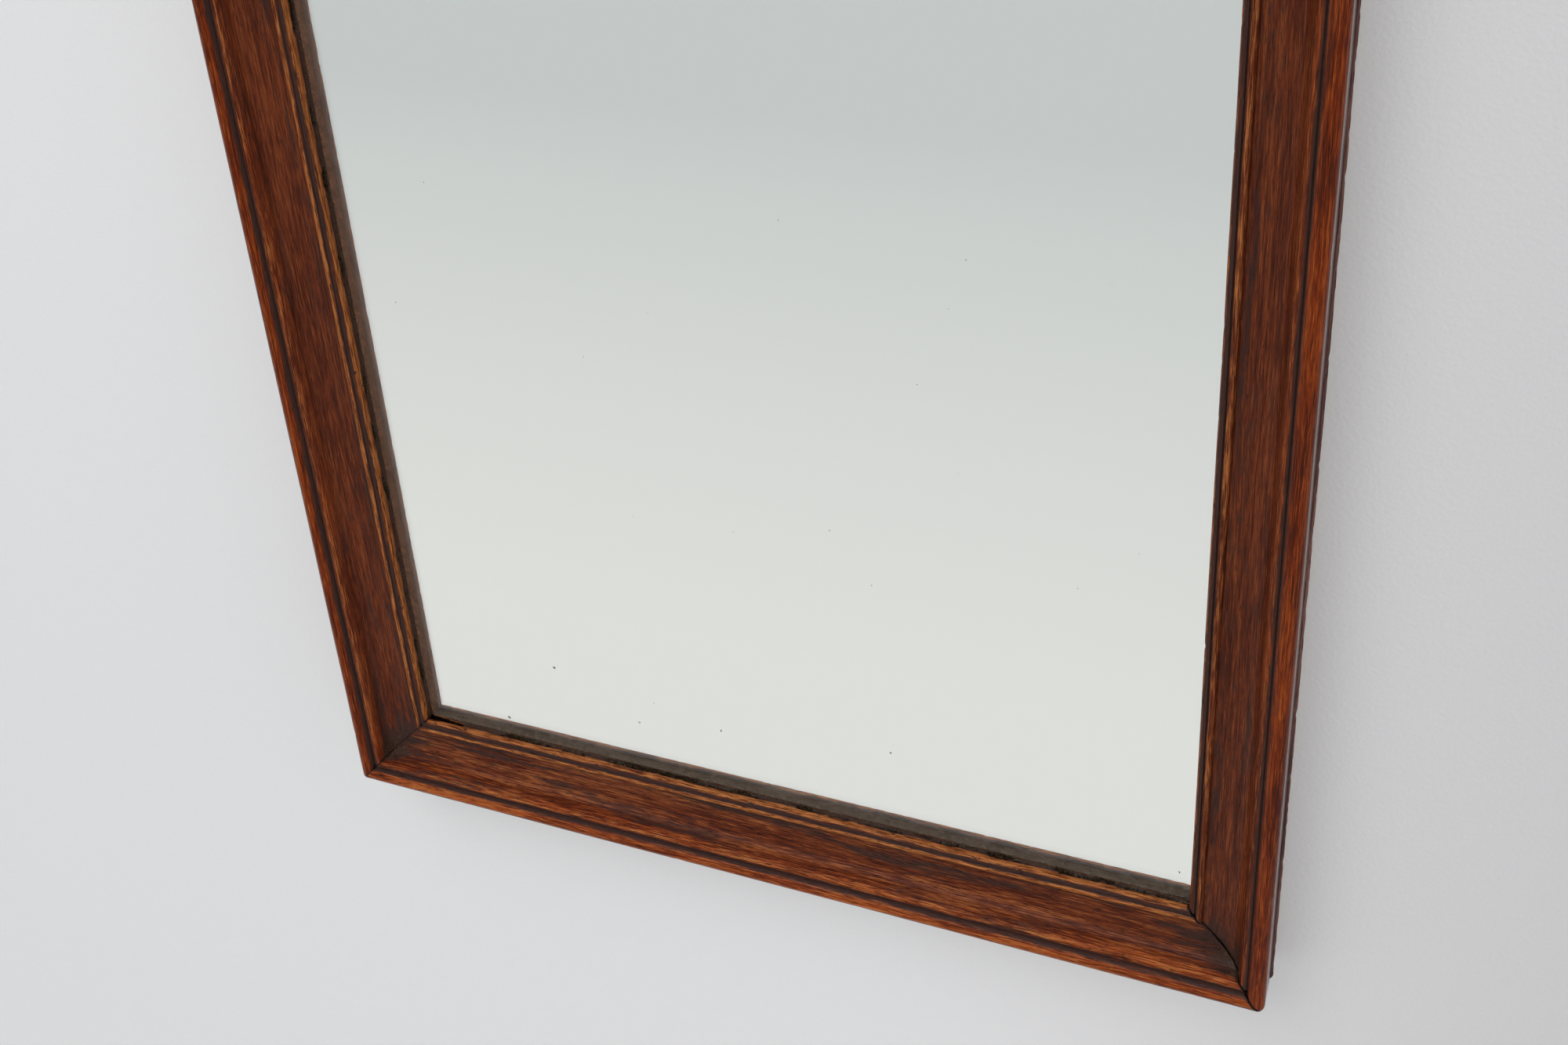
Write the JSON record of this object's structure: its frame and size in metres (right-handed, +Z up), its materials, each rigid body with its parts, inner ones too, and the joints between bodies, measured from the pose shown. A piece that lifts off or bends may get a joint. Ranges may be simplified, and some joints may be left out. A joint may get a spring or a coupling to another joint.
{
  "type": "framed wall mirror",
  "caption": "Upright wall mirror in a deep moulded and stained oak frame with worn edges, hung by swinging rings on its back.",
  "frame": {"origin": "midway between the two points where wall hooks carry the hanger rings, on the plane of the frame's back", "axes": "+X to the viewer's right, +Y into the wall, +Z up; the glass faces -Y"},
  "size_m": [0.6, 0.0445, 0.9],
  "materials": {
    "oak_moulding": "dark stained oak, worn satin varnish",
    "oak_back": "dark stained oak, dull",
    "beech": "bare, glued",
    "pine": "bare, aged and dusty",
    "mirror_glass": "polished plate glass",
    "silvering": "silvered, a few spots lost",
    "brass": "tarnished",
    "steel": "dull, aged"
  },
  "bodies": {
    "frame": {"bottom_back_member": "oak_back", "bottom_board_pins": "steel", "bottom_frame_screws": "steel", "bottom_glass_packers": "pine", "bottom_left_tongue": "beech", "bottom_moulding": "oak_moulding", "bottom_right_tongue": "beech", "left_back_member": "oak_back", "left_backboard": "pine", "left_board_pins": "steel", "left_frame_screws": "steel", "left_glass_packers": "pine", "left_hanger_screws": "steel", "left_hanger_strap": "brass", "left_moulding": "oak_moulding", "middle_backboard": "pine", "mirror_glass": "mirror_glass", "right_back_member": "oak_back", "right_backboard": "pine", "right_board_pins": "steel", "right_frame_screws": "steel", "right_glass_packers": "pine", "right_hanger_screws": "steel", "right_hanger_strap": "brass", "right_moulding": "oak_moulding", "silvering": "silvering", "top_back_member": "oak_back", "top_board_pins": "steel", "top_frame_screws": "steel", "top_glass_packers": "pine", "top_left_tongue": "beech", "top_moulding": "oak_moulding", "top_right_tongue": "beech"},
    "left_ring": {"left_hanger_ring": "brass"},
    "right_ring": {"right_hanger_ring": "brass"}
  },
  "joints": [
    {"name": "left_ring_swing", "type": "hinge", "parent": "frame", "child": "left_ring", "pos_m": [-0.2846, 0.00335, -0.0169], "axis": [-1, 0, 0], "range_deg": [0, 165]},
    {"name": "right_ring_swing", "type": "hinge", "parent": "frame", "child": "right_ring", "pos_m": [0.2846, 0.00335, -0.0169], "axis": [-1, 0, 0], "range_deg": [0, 165]}
  ]
}
